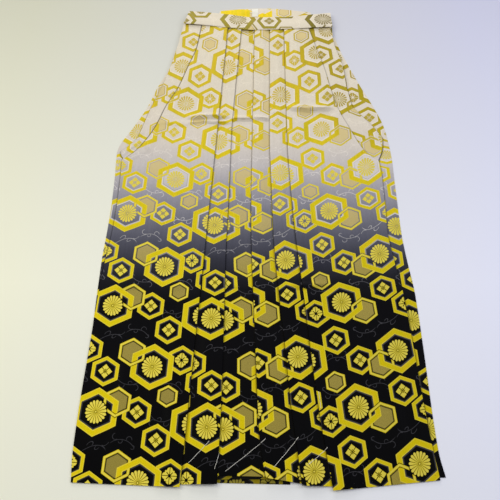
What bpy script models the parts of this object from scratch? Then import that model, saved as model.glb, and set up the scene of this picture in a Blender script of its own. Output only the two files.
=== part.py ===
"""Hakama trousers laid flat, front side up, with the folded ties tucked inside.

Across runs to +X and the waist lies towards +Y. Places on the garment are given as
millimetres across and millimetres down from the front waist seam, and placed() turns
them into metres about the middle of the footprint. The cloth rests on the plane z = 0.
"""

import math

import bmesh
import bpy
import numpy as np

MM = 0.001

# Cloth and clearances, millimetres
CLOTH = 1.0                     # wall of one layer
GAP = 0.3                       # clearance between layers that touch
PITCH = CLOTH + GAP             # rise from one layer to the next
SEAM_ALLOWANCE = 8.0            # cloth hidden inside the waistband or under a neighbour

# Lengths down the garment, millimetres
HEM = 910.0                     # nominal hem
WAIST_FADE = 60.0               # the sag of the waist seam fades out over this length
HEM_FADE = 50.0                 # the steps of the hem fade in over this length
OPENING_END = 326.0             # lower end of the side opening

# How the front climbs over the hidden edge of a side flap, millimetres
FLAP_COVER = 30.0
FLAP_COVER_RAMP = 16.0
FLAP_CLEAR_END = 350.0

# Pleats, millimetres
PANEL_DEPTH = 22.0              # hidden depth of the fold at each large panel
STRIP_DEPTH_SHARE = 0.42        # hidden depth of the inner folds, as a share of the strip's width
FOLD_ROOM = 3.0                 # level cloth kept over the hidden turn
PANEL_RISE = 20.0               # width over which a large panel climbs onto its own fold
TURN_STEPS = 3                  # straight pieces in one rounded fold
LOWER_HEM_STEP = 3.0            # a hidden layer ends this much higher than the hem over it

# What lies between back and front at the waist, millimetres
BOARD_THICKNESS = 3.5
TIE_THICKNESS = 3.0
TIE_WIDTH = 36.0
TIE_LENGTH = 110.0
TIE_TOP = 12.5
TIE_LAYERS = 3
TIE_CORNER = 2.5                # corner radius of a folded tie
TIE_GROOVE = 0.6                # depth of the groove between two of its layers
TIE_MIDDLES = {"tie_front_left": -117.0, "tie_back_left": -77.0,
               "tie_back_right": 107.0, "tie_front_right": 147.0}
LABEL_THICKNESS = 0.6
LIFT_IN_BAND = 5.1              # rise of the front where the waistband grips it
LIFT_OVER_TIES = 3.4            # rise of the front over the folded ties

# Overlap of the two back panels, millimetres across
BACK_LEFT_INNER = 60.0
BACK_RIGHT_INNER = -50.0
BACK_RAMP = 30.0
CENTRE = 5.0
CENTRE_PLATEAU = 65.0
CENTRE_FOOT = 125.0
BACK_SHARES = (0.0, 0.25, 0.5, 0.75, 1.0)

# Every edge and fold line of the laid out garment: how far down, then how far across
LINE_COLUMNS = ("down", "back_left", "front_left", "pleat_1", "pleat_2",
                "pleat_3", "pleat_4", "pleat_5", "front_right", "back_right")
LINE_ROWS = (
    (0, -141, -100, -46.5, -18, 9.6, 41.6, 71, 122, 171.5),
    (50, -152, -108, -49.5, -21.7, 8.8, 40.9, 71, 135, 184.5),
    (100, -163, -124, -52.7, -25, 7.9, 40.2, 71, 148, 202),
    (150, -184, -140, -56, -28.7, 7, 39.5, 71, 158, 221),
    (200, -201, -164, -59, -32, 5.9, 38.7, 71, 170, 242),
    (250, -225, -182, -62.2, -35, 5, 38, 71, 190, 258.5),
    (300, -250, -211, -65.3, -36.3, 4.2, 37.5, 71.2, 213, 265),
    (312, -251.5, -222, -66, -36.6, 4, 37.5, 71.5, 222, 266),
    (320, -251.5, -232, -66.6, -36.8, 3.8, 37.7, 71.8, 230, 266.5),
    (326, -251.5, -240, -67, -37, 3.7, 37.9, 72, 240, 267),
    (360, -250.5, -240, -69.1, -37.5, 3, 38.9, 73.5, 244.5, 267),
    (420, -251, -241, -73, -39, 2.2, 40, 76, 244.5, 267.5),
    (480, -254, -244.5, -76.8, -41, 2.3, 41.2, 80, 244, 268.5),
    (530, -257.5, -251, -80, -42.3, 3.2, 43.5, 84, 249.5, 272.5),
    (600, -259.5, -257, -84.4, -42.8, 5.4, 49, 90.5, 260, 280),
    (700, -261.5, -262.5, -90.8, -43.5, 8.8, 57.5, 98.5, 267, 283),
    (800, -267, -268, -97, -45.3, 12.5, 65, 108, 273.5, 284.5),
    (860, -268.5, -269.5, -100.8, -47.3, 16.5, 72, 115.5, 279, 287),
    (910, -266, -267, -104, -49, 23.5, 77.3, 123, 284, 293),
)

# Outer edge of the folded flap beside each side opening
FLAP_COLUMNS = ("down", "left", "right")
FLAP_ROWS = (
    (0, -139, 167),
    (50, -149, 175),
    (100, -160, 188),
    (125, -167, 190),
    (150, -174, 191.5),
    (200, -193, 200),
    (225, -200, 219),
    (250, -207, 238),
    (275, -214, 253),
    (295, -231, 251.5),
    (305, -244, 249.5),
    (315, -243, 246),
    (326, -236, 241),
)

# Front waist seam and the waistband's top edge, which both sag in the middle
BAND_COLUMNS = ("across", "seam", "top")
BAND_ROWS = (
    (-138, -12, -51),
    (-113, -10, -49),
    (-50, -1, -41),
    (2, 6, -33),
    (71, 4, -34),
    (138, -1, -42),
    (172, -3, -46),
)
BAND_TOP_LEFT = -129.0          # the band's left end leans in towards its top edge
BAND_TOP_RIGHT = 170.0
BAND_BACK_LEAF_END = 18.0       # lower edge of the leaf behind the panels
BAND_TURN = 1.15                # radius of the fold along the band's top edge
BAND_STATIONS = 17
BAND_GRIP = 10.0                # how far above its seam the band stands at full height

# How far down the hem of each stretch lies: at its outer edge, then at its edge towards the centre
LEFT_HEMS = ((903, 910), (906, 906))
RIGHT_HEMS = ((900, 915), (909, 908), (905, 897), (895, 893))
BACK_LEFT_HEM = (899, 906)
BACK_RIGHT_HEM = (896, 899)

# Sections of the panels down the garment, and places across a large panel as shares of its flat part
PANEL_SHARES = (0.0, 0.06, 0.2, 0.4, 0.6, 0.8, 1.0)
LAST_STRIP_SHARES = (0.0, 0.3, 0.6, 1.0)
FLAP_SHARES = (0.0, 0.25, 0.5, 0.75, 1.0)
SECTION_DOWNS = (-SEAM_ALLOWANCE, 8, 26, 45, 75, 100, 125, 150, 175, 200, 211, 219, 227, 241, 262,
                 285, 300, 312, 320, 326, 334, 350, 370, 400, 440, 480, 530, 560, 574, 584, 594, 610,
                 650, 700, 750, 800, 840, 860, 880, 897, HEM)
BACK_DOWNS = (18.3, 50, 100, 150, 200, 250, 285, 303, 312, 326, 360, 420, 480, 530, 600, 700,
              800, 860, 885, HEM)
FLAP_DOWNS = (-SEAM_ALLOWANCE, 8, 26, 45, 75, 100, 125, 150, 175, 200, 225, 250, 275, 295, 305,
              315, 326, 331)

# Creases pressed across the front while it was stored folded
CREASES = (
    {"down": 219, "start": -95, "end": 215, "height": 2.0, "half_width": 11},
    {"down": 241, "start": -185, "end": -10, "height": 1.0, "half_width": 9},
    {"down": 584, "start": -240, "end": 262, "height": 1.6, "half_width": 13},
)
CREASE_TAPER = 35.0

# Rise of the front above what lies under it at the waist: how far down, then how high
LIFT_DOWNS = (26, 45, 125, 150, 190, 220)
LIFT_HEIGHTS = (LIFT_IN_BAND, 4.0, LIFT_OVER_TIES, 2.4, 0.6, 0)

# Stiffened board at the back waist, seen past the waistband: its corners
BOARD_TOP_LEFT = (-63.5, -54.0)
BOARD_TOP_RIGHT = (129.0, -49.5)
BOARD_CROWN = (56.0, -61.0)
BOARD_BASE_LEFT = (-86.0, 12.2)
BOARD_BASE_RIGHT = (150.0, 12.2)
BOARD_CROWN_STEPS = 14
LABEL_CORNERS = ((4.0, -59.0), (17.5, -59.0), (17.5, -36.5), (4.0, -36.5))
BACK_BAND_CORNERS = ((-134.0, -12.0), (166.0, -12.0), (166.0, 18.0), (-134.0, 18.0))
EDGE_EASE = 0.4

MID_ACROSS = 11.75              # middle of the footprint, from the widest and longest rows above
MID_DOWN = 427.0


def column(columns, rows, name):
    return np.array([row[columns.index(name)] for row in rows], dtype=float)


def line(name, down):
    """How far across an edge or fold line lies at a distance down."""
    return float(np.interp(down, column(LINE_COLUMNS, LINE_ROWS, "down"),
                           column(LINE_COLUMNS, LINE_ROWS, name)))


def flap_edge(side, down):
    return float(np.interp(down, column(FLAP_COLUMNS, FLAP_ROWS, "down"),
                           column(FLAP_COLUMNS, FLAP_ROWS, side)))


def band_edge(name, across):
    return float(np.interp(across, column(BAND_COLUMNS, BAND_ROWS, "across"),
                           column(BAND_COLUMNS, BAND_ROWS, name)))


def smooth_step(value):
    value = min(max(value, 0.0), 1.0)
    return value * value * (3 - 2 * value)


def placed(across, down, height):
    return ((across - MID_ACROSS) * MM, (MID_DOWN - down) * MM, height * MM)


def true_down(across, down, hem):
    """Follow the sagging waist seam near the top and the stepped hem near the bottom."""
    waist = band_edge("seam", across) * max(0.0, 1 - max(down, 0.0) / WAIST_FADE)
    hem_share = max(0.0, (down - (HEM - HEM_FADE)) / HEM_FADE)
    return down + waist + (hem - HEM) * hem_share


def crease_height(across, down):
    height = 0.0
    for crease in CREASES:
        along = smooth_step((across - crease["start"]) / CREASE_TAPER)
        along *= smooth_step((crease["end"] - across) / CREASE_TAPER)
        offset = (down - crease["down"]) / crease["half_width"]
        height += crease["height"] * along * math.exp(-offset * offset)
    return height


def waist_lift(down):
    return float(np.interp(down, LIFT_DOWNS, LIFT_HEIGHTS))


def front_base(across, down):
    """Height of the middle of the front's lowest layer."""
    reach = abs(across - CENTRE)
    centre = PITCH * smooth_step((CENTRE_FOOT - reach) / (CENTRE_FOOT - CENTRE_PLATEAU))
    return CLOTH / 2 + PITCH + max(waist_lift(down), centre) + crease_height(across, down)


def rounded_turn(edge, level_from, level_to, facing):
    """Points round one fold, whose outer face just reaches edge and bulges towards facing."""
    radius = PITCH * abs(level_from - level_to) / 2
    middle = (level_from + level_to) / 2
    half = (level_from - level_to) / 2
    centre = edge - facing * (CLOTH / 2 + radius)
    points = []
    for step in range(TURN_STEPS + 1):
        angle = math.pi * step / TURN_STEPS
        points.append((centre + facing * radius * math.sin(angle), middle + half * math.cos(angle)))
    return points


def pleated_section(edge, folds, hems, end):
    """One section across a pleated front panel, as (position, level, hem) points.

    Positions grow from the garment's side to its centre. A visible stretch climbs two
    layers onto its own fold, turns back under itself, and turns again into the next
    stretch. end is where the last stretch stops, or None where it stops behind the last fold.
    """
    points = []
    previous = edge
    for index, fold in enumerate(folds):
        width = fold - previous
        first = index == 0
        depth = PANEL_DEPTH if first else STRIP_DEPTH_SHARE * width
        rise_end = fold - depth - FOLD_ROOM
        rise_start = max(rise_end - PANEL_RISE, previous + 1.0) if first else previous + 1.0
        hem_from, hem_to = hems[index]
        shares = PANEL_SHARES if first else (0.0, 1.0)
        stretch = [(previous + (rise_start - previous) * share, 0.0) for share in shares]
        stretch.append(((rise_start + rise_end) / 2, 1.0))
        stretch.append((rise_end, 2.0))
        for position, level in stretch:
            hem = hem_from + (hem_to - hem_from) * (position - previous) / width
            points.append((position, level, hem))
        last = index == len(folds) - 1 and end is None
        hidden_hem = hem_to if last else min(hem_to, hems[index + 1][0])
        for step, (position, level) in enumerate(rounded_turn(fold, 2.0, 1.0, 1)):
            hem = hem_to if step < TURN_STEPS else hidden_hem - LOWER_HEM_STEP
            points.append((position, level, hem))
        if last:
            points.append((fold - depth, 1.0, hidden_hem - LOWER_HEM_STEP))
            return points
        for position, level in rounded_turn(fold - depth, 1.0, 0.0, -1):
            points.append((position, level, hidden_hem - LOWER_HEM_STEP))
        previous = fold
    hem_from, hem_to = hems[-1]
    for share in LAST_STRIP_SHARES:
        points.append((previous + (end - previous) * share, 0.0, hem_from + (hem_to - hem_from) * share))
    return points


def front_grid(side):
    """Rows of placed points for the left (-1) or the right (1) front panel."""
    edge_name = "front_left" if side < 0 else "front_right"
    fold_names = ("pleat_1", "pleat_2") if side < 0 else ("pleat_5", "pleat_4", "pleat_3")
    hems = LEFT_HEMS if side < 0 else RIGHT_HEMS
    rows = []
    for down in SECTION_DOWNS:
        edge = -side * line(edge_name, down)
        folds = [-side * line(name, down) for name in fold_names]
        centre_fold = line("pleat_2", down)
        strip = centre_fold - line("pleat_1", down)
        end = None if side < 0 else -(centre_fold - STRIP_DEPTH_SHARE * strip - FOLD_ROOM / 2)
        row = []
        for position, level, hem in pleated_section(edge, folds, hems, end):
            across = -side * position
            over_flap = smooth_step((FLAP_COVER - (position - edge)) / FLAP_COVER_RAMP)
            over_flap *= smooth_step((FLAP_CLEAR_END - down) / FLAP_COVER_RAMP)
            height = front_base(across, down) + max(level, over_flap) * PITCH
            row.append(placed(across, true_down(across, down, hem), height))
        rows.append(row)
    return rows


def flap_grid(side):
    """The folded flap of the side opening, tucked under the front's slanted edge."""
    name = "left" if side < 0 else "right"
    rows = []
    for down in FLAP_DOWNS:
        outer = flap_edge(name, down)
        inner = line("front_" + name, min(down, OPENING_END)) - side * (SEAM_ALLOWANCE + 1.0)
        row = []
        for share in FLAP_SHARES:
            across = outer + (inner - outer) * share
            height = CLOTH / 2 + PITCH + waist_lift(down)
            row.append(placed(across, true_down(across, down, HEM), height))
        rows.append(row)
    return rows


def back_grid(side):
    """A back panel flat on the surface; the right one crosses over the left at the centre."""
    outer_name = "back_left" if side < 0 else "back_right"
    inner = BACK_LEFT_INNER if side < 0 else BACK_RIGHT_INNER
    hem_from, hem_to = BACK_LEFT_HEM if side < 0 else BACK_RIGHT_HEM
    ramp_top = BACK_LEFT_INNER + FOLD_ROOM
    flat_end = inner if side < 0 else ramp_top + BACK_RAMP
    rows = []
    for down in BACK_DOWNS:
        outer = line(outer_name, down)
        stations = [(outer + (flat_end - outer) * share, 0.0) for share in BACK_SHARES]
        if side > 0:
            stations += [(ramp_top + BACK_RAMP / 2, 0.5), (ramp_top, 1.0), (inner, 1.0)]
        row = []
        for across, level in stations:
            reach = (across - outer) / (inner - outer)
            hem = hem_from + (hem_to - hem_from) * reach
            hem_share = max(0.0, (down - (HEM - HEM_FADE)) / HEM_FADE)
            row.append(placed(across, down + (hem - HEM) * hem_share, CLOTH / 2 + level * PITCH))
        rows.append(row)
    return rows


def band_grid():
    """The front waistband: one strip folded along its top edge over the panels' upper ends."""
    back_height = CLOTH / 2 + PITCH + BOARD_THICKNESS + GAP
    front_height = front_base(CENTRE, 0) + 3 * PITCH
    seam_left = BAND_ROWS[0][0]
    seam_right = BAND_ROWS[-1][0]
    rows = []
    for index in range(BAND_STATIONS):
        share = index / (BAND_STATIONS - 1)
        across = seam_left + (seam_right - seam_left) * share
        seam = band_edge("seam", across)
        top = band_edge("top", across)
        profile = [(BAND_BACK_LEAF_END, back_height)]
        for step in range(TURN_STEPS + 1):
            angle = math.pi * step / TURN_STEPS
            profile.append((top + CLOTH / 2 + BAND_TURN * (1 - math.sin(angle)),
                            back_height + BAND_TURN * (1 - math.cos(angle))))
        profile.append(((top + seam - BAND_GRIP) / 2, (back_height + 2 * BAND_TURN + front_height) / 2))
        profile.append((seam - BAND_GRIP, front_height))
        profile.append((seam, front_height))
        row = []
        for down, height in profile:
            lean = min(max((seam - down) / (seam - top), 0.0), 1.0)
            left = seam_left + (BAND_TOP_LEFT - seam_left) * lean
            right = seam_right + (BAND_TOP_RIGHT - seam_right) * lean
            row.append(placed(left + (right - left) * share, down, height))
        rows.append(row)
    return rows


def make_material(name, colour, roughness):
    material = bpy.data.materials.new(name)
    material.use_nodes = True
    shader = material.node_tree.nodes["Principled BSDF"]
    shader.inputs["Base Color"].default_value = (*colour, 1.0)
    shader.inputs["Roughness"].default_value = roughness
    shader.inputs["Metallic"].default_value = 0.0
    return material


def add_object(name, mesh, colour, roughness=0.55):
    mesh.materials.append(make_material(name + "_finish", colour, roughness))
    made = bpy.data.objects.new(name, mesh)
    hakama.objects.link(made)
    return made


def cloth_wall(name, rows, colour):
    """A grid of points down the middle of a cloth, thickened into a wall."""
    mesh = bpy.data.meshes.new(name)
    shape = bmesh.new()
    grid = [[shape.verts.new(point) for point in row] for row in rows]
    for upper, lower in zip(grid, grid[1:]):
        for index in range(len(upper) - 1):
            shape.faces.new((upper[index], lower[index], lower[index + 1], upper[index + 1]))
    bmesh.ops.recalc_face_normals(shape, faces=shape.faces)
    shape.to_mesh(mesh)
    shape.free()
    wall = add_object(name, mesh, colour)
    thicken = wall.modifiers.new("cloth", "SOLIDIFY")
    thicken.thickness = CLOTH * MM
    thicken.offset = 0.0
    thicken.use_even_offset = True
    return wall


def flat_slab(name, corners, low, thickness, colour):
    """A flat piece cut to an outline, with its edges eased."""
    mesh = bpy.data.meshes.new(name)
    shape = bmesh.new()
    shape.faces.new([shape.verts.new(placed(across, down, low + thickness / 2)) for across, down in corners])
    shape.to_mesh(mesh)
    shape.free()
    slab = add_object(name, mesh, colour)
    thicken = slab.modifiers.new("thickness", "SOLIDIFY")
    thicken.thickness = thickness * MM
    thicken.offset = 0.0
    ease = slab.modifiers.new("eased edges", "BEVEL")
    ease.width = min(EDGE_EASE, thickness / 4) * MM
    ease.segments = 1
    return slab


def board_outline():
    """A trapezoid with a crowned top, wider at its base."""
    corners = [BOARD_BASE_LEFT]
    for step in range(BOARD_CROWN_STEPS + 1):
        share = step / BOARD_CROWN_STEPS
        across = BOARD_TOP_LEFT[0] + (BOARD_TOP_RIGHT[0] - BOARD_TOP_LEFT[0]) * share
        chord = BOARD_TOP_LEFT[1] + (BOARD_TOP_RIGHT[1] - BOARD_TOP_LEFT[1]) * share
        crown_share = (BOARD_CROWN[0] - BOARD_TOP_LEFT[0]) / (BOARD_TOP_RIGHT[0] - BOARD_TOP_LEFT[0])
        chord_at_crown = BOARD_TOP_LEFT[1] + (BOARD_TOP_RIGHT[1] - BOARD_TOP_LEFT[1]) * crown_share
        corners.append((across, chord + (BOARD_CROWN[1] - chord_at_crown) * math.sin(math.pi * share)))
    corners.append(BOARD_BASE_RIGHT)
    return corners


def rounded_outline(left, right, top, bottom, radius, inset):
    """A rounded rectangle drawn in by inset, three steps to a corner."""
    points = []
    for across, down, start in ((right, bottom, 0), (left, bottom, 1), (left, top, 2), (right, top, 3)):
        centre_across = across + (-radius if across == right else radius)
        centre_down = down + (-radius if down == bottom else radius)
        for step in range(4):
            angle = math.pi / 2 * (start + step / 3)
            points.append((centre_across + (radius - inset) * math.cos(angle),
                           centre_down + (radius - inset) * math.sin(angle)))
    return points


def folded_tie(name, middle, colour):
    """A tie folded to and fro into a flat bundle, with a groove between its layers."""
    layer = TIE_THICKNESS / TIE_LAYERS
    rings = []
    for index in range(TIE_LAYERS):
        for share, inset in ((0.0, TIE_GROOVE), (0.3, 0.0), (0.7, 0.0)):
            rings.append((PITCH + (index + share) * layer, inset))
    rings.append((PITCH + TIE_THICKNESS, TIE_GROOVE))
    mesh = bpy.data.meshes.new(name)
    shape = bmesh.new()
    loops = []
    for height, inset in rings:
        outline = rounded_outline(middle - TIE_WIDTH / 2, middle + TIE_WIDTH / 2, TIE_TOP,
                                  TIE_TOP + TIE_LENGTH, TIE_CORNER, inset)
        loops.append([shape.verts.new(placed(across, down, height)) for across, down in outline])
    for lower, upper in zip(loops, loops[1:]):
        for index in range(len(lower)):
            after = (index + 1) % len(lower)
            shape.faces.new((lower[index], lower[after], upper[after], upper[index]))
    shape.faces.new(loops[0])
    shape.faces.new(loops[-1])
    bmesh.ops.recalc_face_normals(shape, faces=shape.faces)
    shape.to_mesh(mesh)
    shape.free()
    return add_object(name, mesh, colour)


for old in list(bpy.data.objects):
    bpy.data.objects.remove(old)

hakama = bpy.data.collections.new("hakama_trousers")
bpy.context.scene.collection.children.link(hakama)

DARK = (0.012, 0.012, 0.02)
SLATE = (0.09, 0.085, 0.11)
GREIGE = (0.55, 0.50, 0.47)
CREAM = (0.72, 0.68, 0.58)
WHITE = (0.86, 0.86, 0.85)

cloth_wall("back_left", back_grid(-1), DARK)
cloth_wall("back_right", back_grid(1), DARK)
cloth_wall("side_flap_left", flap_grid(-1), GREIGE)
cloth_wall("side_flap_right", flap_grid(1), GREIGE)
cloth_wall("front_left", front_grid(-1), SLATE)
cloth_wall("front_right", front_grid(1), SLATE)
cloth_wall("waistband_front", band_grid(), CREAM)

flat_slab("waistband_back", BACK_BAND_CORNERS, 0.0, CLOTH, CREAM)
flat_slab("back_board", board_outline(), PITCH, BOARD_THICKNESS, CREAM)
flat_slab("board_label", LABEL_CORNERS, PITCH + BOARD_THICKNESS + GAP, LABEL_THICKNESS, WHITE)

for tie_name, tie_middle in TIE_MIDDLES.items():
    folded_tie(tie_name, tie_middle, CREAM)
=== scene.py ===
# Hakama trousers laid flat: the cloth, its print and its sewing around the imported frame
import math

import bmesh
import bpy
import numpy as np
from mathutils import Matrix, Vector
from mathutils.bvhtree import BVHTree


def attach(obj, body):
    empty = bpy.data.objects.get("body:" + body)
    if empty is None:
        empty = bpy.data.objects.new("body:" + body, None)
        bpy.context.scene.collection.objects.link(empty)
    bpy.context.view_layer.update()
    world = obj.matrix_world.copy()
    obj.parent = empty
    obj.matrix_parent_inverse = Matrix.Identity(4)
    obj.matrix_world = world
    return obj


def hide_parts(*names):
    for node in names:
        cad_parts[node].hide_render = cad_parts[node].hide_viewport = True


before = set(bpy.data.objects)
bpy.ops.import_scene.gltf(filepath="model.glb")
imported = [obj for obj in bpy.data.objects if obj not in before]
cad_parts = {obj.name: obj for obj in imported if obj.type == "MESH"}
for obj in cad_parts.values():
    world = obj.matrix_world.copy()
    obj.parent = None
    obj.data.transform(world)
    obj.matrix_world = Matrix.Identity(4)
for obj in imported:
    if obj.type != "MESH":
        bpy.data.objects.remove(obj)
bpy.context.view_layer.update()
print("frame loaded:", len(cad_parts), "nodes")

mm = 0.001

# Places on the garment are millimetres across and millimetres down from the front waist seam
garment = {
    "midAcross": 11.75,
    "midDown": 427.0,
    "hem": 910.0,
    "waistFade": 60.0,
    "hemFade": 50.0,
    "layer": 1.0,          # room of one layer in the frame
    "pitch": 1.3,          # rise from one layer to the next
    "cloth": 0.8,          # the brocade itself
    "openingEnd": 326.0,
}


def placed(across, down, height):
    x, y = across - garment["midAcross"], garment["midDown"] - down
    return np.stack([x * mm, y * mm, height * mm], axis=-1)


def addObject(name, data):
    made = bpy.data.objects.new(name, data)
    bpy.context.scene.collection.objects.link(made)
    return made


# Camera, light and floor come first; the camera's height is in metres
view = {"across": 0.0, "down": 1045.0, "height": 1.050, "aimDown": 514.1, "lens": 48.3, "sensor": 36.0,
        "clip": (0.02, 50.0)}


def makeCamera():
    data = bpy.data.cameras.new("viewpoint")
    data.lens = view["lens"]
    data.sensor_width = view["sensor"]
    data.clip_start, data.clip_end = view["clip"]
    camera = addObject("viewpoint", data)
    x, y, _ = placed(view["across"], view["down"], 0.0)
    camera.location = (x, y, view["height"])
    camera.rotation_euler = (math.atan((view["down"] - view["aimDown"]) * mm / view["height"]), 0, 0)
    bpy.context.scene.camera = camera


lights = {
    "left": {"at": (-1.7, 0.5, 1.7), "size": 1.4, "power": 20, "colour": (1.0, 0.985, 0.84)},
    "ceiling": {"at": (0.1, 0.1, 2.9), "size": 2.4, "power": 22, "colour": (1.0, 0.99, 0.97)},
    "window": {"at": (-0.3, 2.3, 1.0), "size": 1.0, "power": 22, "colour": (1.0, 0.995, 0.97)},
    "right": {"at": (1.7, 0.3, 1.7), "size": 1.4, "power": 16, "colour": (0.84, 0.90, 1.0)},
}
sky = {"colour": (0.96, 0.97, 1.0), "strength": 0.29}


def makeLights():
    for name, spec in lights.items():
        data = bpy.data.lights.new(name, "AREA")
        data.shape = "SQUARE"
        data.size = spec["size"]
        data.energy = spec["power"]
        data.color = spec["colour"]
        lamp = addObject(name, data)
        lamp.location = spec["at"]
        lamp.rotation_euler = (-Vector(spec["at"])).to_track_quat("-Z", "Y").to_euler()
    world = bpy.data.worlds.new("studio")
    world.use_nodes = True
    background = world.node_tree.nodes["Background"]
    background.inputs["Color"].default_value = (*sky["colour"], 1)
    background.inputs["Strength"].default_value = sky["strength"]
    bpy.context.scene.world = world


makeCamera()
makeLights()
bpy.context.scene.view_settings.view_transform = "Standard"
print("camera and lights set")


# Node trees as expressions
def mathsWith(operation):
    return lambda self, *others: self.maths(operation, *others)


class Wire:
    # one socket of a node tree; the operators add Math nodes
    def __init__(self, tree, socket=None):
        self.tree = tree
        self.socket = socket

    def node(self, kind, settings=None, inputs=None, output=0):
        made = self.tree.nodes.new(kind)
        for name, value in (settings or {}).items():
            if name == "stops":
                fillRamp(made.color_ramp, value)
            else:
                setattr(made, name, value)
        for key, value in (inputs or {}).items():
            if isinstance(value, Wire):
                self.tree.links.new(value.socket, made.inputs[key])
            else:
                made.inputs[key].default_value = value
        return Wire(self.tree, made.outputs[output])

    def other(self, output):
        # another output of the same node
        return Wire(self.tree, self.socket.node.outputs[output])

    def maths(self, operation, *others, clamp=False):
        values = dict(enumerate((self, *others)))
        return self.node("ShaderNodeMath", {"operation": operation, "use_clamp": clamp}, values)

    __add__ = __radd__ = mathsWith("ADD")
    __sub__ = mathsWith("SUBTRACT")
    __mul__ = __rmul__ = mathsWith("MULTIPLY")
    __truediv__ = mathsWith("DIVIDE")
    __abs__ = mathsWith("ABSOLUTE")
    least = mathsWith("MINIMUM")
    most = mathsWith("MAXIMUM")

    def __rsub__(self, other):
        return self.maths("MULTIPLY_ADD", -1.0, other)

    def length(self, other):
        return (self * self + other * other).maths("POWER", 0.5)

    def past(self, edge, soft):
        # 0 below the edge and 1 above it, softened over a width
        return self.maths("MULTIPLY_ADD", 1.0 / soft, 0.5 - edge / soft, clamp=True)

    def under(self, edge, soft):
        return self.maths("MULTIPLY_ADD", -1.0 / soft, 0.5 + edge / soft, clamp=True)

    def within(self, low, high, soft):
        return self.past(low, soft) * self.under(high, soft)

    def wave(self, period):
        # from 0 to 1 and back over a period
        return (self * (2 * math.pi / period)).maths("SINE") * 0.5 + 0.5

    def xyz(self, x, y, z):
        return self.node("ShaderNodeCombineXYZ", None, {0: x, 1: y, 2: z})

    def parts(self):
        split = self.node("ShaderNodeSeparateXYZ", None, {0: self})
        return [split.other(index) for index in range(3)]

    def mixVector(self, share, other):
        return self.node("ShaderNodeMix", {"data_type": "VECTOR"}, {0: share, 4: self, 5: other}, 1)

    def mixValue(self, share, other):
        return self.node("ShaderNodeMix", {"data_type": "FLOAT"}, {0: share, 2: self, 3: other}, 0)

    def mixColour(self, share, other, blend="MIX"):
        settings = {"data_type": "RGBA", "blend_type": blend}
        return self.node("ShaderNodeMix", settings, {0: share, 6: self, 7: other}, 2)

    def noise(self, scale, detail=2.0, roughness=0.5):
        return self.node("ShaderNodeTexNoise", None,
                         {"Vector": self, "Scale": scale, "Detail": detail, "Roughness": roughness})

    def ramp(self, stops):
        return self.node("ShaderNodeValToRGB", {"stops": stops}, {0: self})

    def bump(self, strength, distance):
        return self.node("ShaderNodeBump", None, {"Strength": strength, "Distance": distance, "Height": self})


def linear(colour):
    # screen values out of 255 to the renderer's linear ones
    made = []
    for value in colour:
        value = value / 255
        made.append(value / 12.92 if value <= 0.04045 else ((value + 0.055) / 1.055) ** 2.4)
    return (*made, 1.0)


def fillRamp(ramp, stops):
    while len(ramp.elements) > 1:
        ramp.elements.remove(ramp.elements[-1])
    for index, (place, colour) in enumerate(stops):
        element = ramp.elements[0] if index == 0 else ramp.elements.new(place)
        element.position = place
        element.color = linear(colour)


def newMaterial(name):
    # a material, its shader, and the object's own coordinates
    material = bpy.data.materials.new(name)
    material.use_nodes = True
    tree = material.node_tree
    return material, tree.nodes["Principled BSDF"], Wire(tree).node("ShaderNodeTexCoord", None, None, "Object")


def feed(shader, wires):
    for name, wire in wires.items():
        wire.tree.links.new(wire.socket, shader.inputs[name])


# The woven print
# One repeat of the cloth in millimetres, charted from the first flower: across, down, width, height
chart = {
    "across": 153.0,
    "down": 178.7,
    "drop": 7.9,
    "flowers": ((0, 0), (79, 99.7)),
    "flowerSize": (68, 77),
    "flowerBorder": 9.2,
    "linked": ((31, -18), (43.4, 78)),
    "linkedSize": (42.5, 48.5),
    "linkedBorder": 4.0,
    "small": (109, -33),
    "smallSize": (32, 36),
    "smallBorder": 3.6,
    "lozenges": ((64, -4.6), (98.7, 35.5), (4.5, 113), (125.5, 86)),
    "lozengeSize": (43.5, 49.5),
    "lozengeBorder": 5.6,
    "sprays": ((50, 39, 1, 1, 0.2), (6, 51, -1, 1, -0.3), (105, 7, 1, -1, 0.1), (42, 132, -1, -1, -0.15),
               (117, 126, 1, 1, 0.35)),
    "unit": 1000.0,        # the cloth's UV map is in metres
}
# The motifs in the hexagons
flower = {"petals": 18, "reach": 16.7, "squash": 0.91, "bow": 10.4, "gap": 0.17, "widening": 0.026, "eye": 1.3,
          "ring": 2.0, "lightTips": 13.0}
lozenge = {"wide": 11.3, "tall": 11.6, "eyeAt": 0.24, "scale": 8.0, "onPale": 0.15}
fourPetals = {"at": 6.6, "radius": 4.5, "squash": 0.92, "split": 0.9, "dotAt": 5.7, "dotRadius": 1.5}
# The curls of a spray: centre, radius, half width, and the way each one opens; the first is its stem
curls = (
    ((1.0, 25.0), 25.0, 0.36, (-0.1, -1.0)),
    ((-14.5, -1.4), 4.8, 0.36, (-0.8, 0.6)),
    ((-5.0, 3.4), 3.1, 0.34, (0.5, 0.8)),
    ((7.5, -3.0), 4.2, 0.36, (-0.3, -1.0)),
    ((16.0, 7.2), 3.0, 0.34, (0.9, 0.3)),
)
stemReach = 18.0

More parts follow.
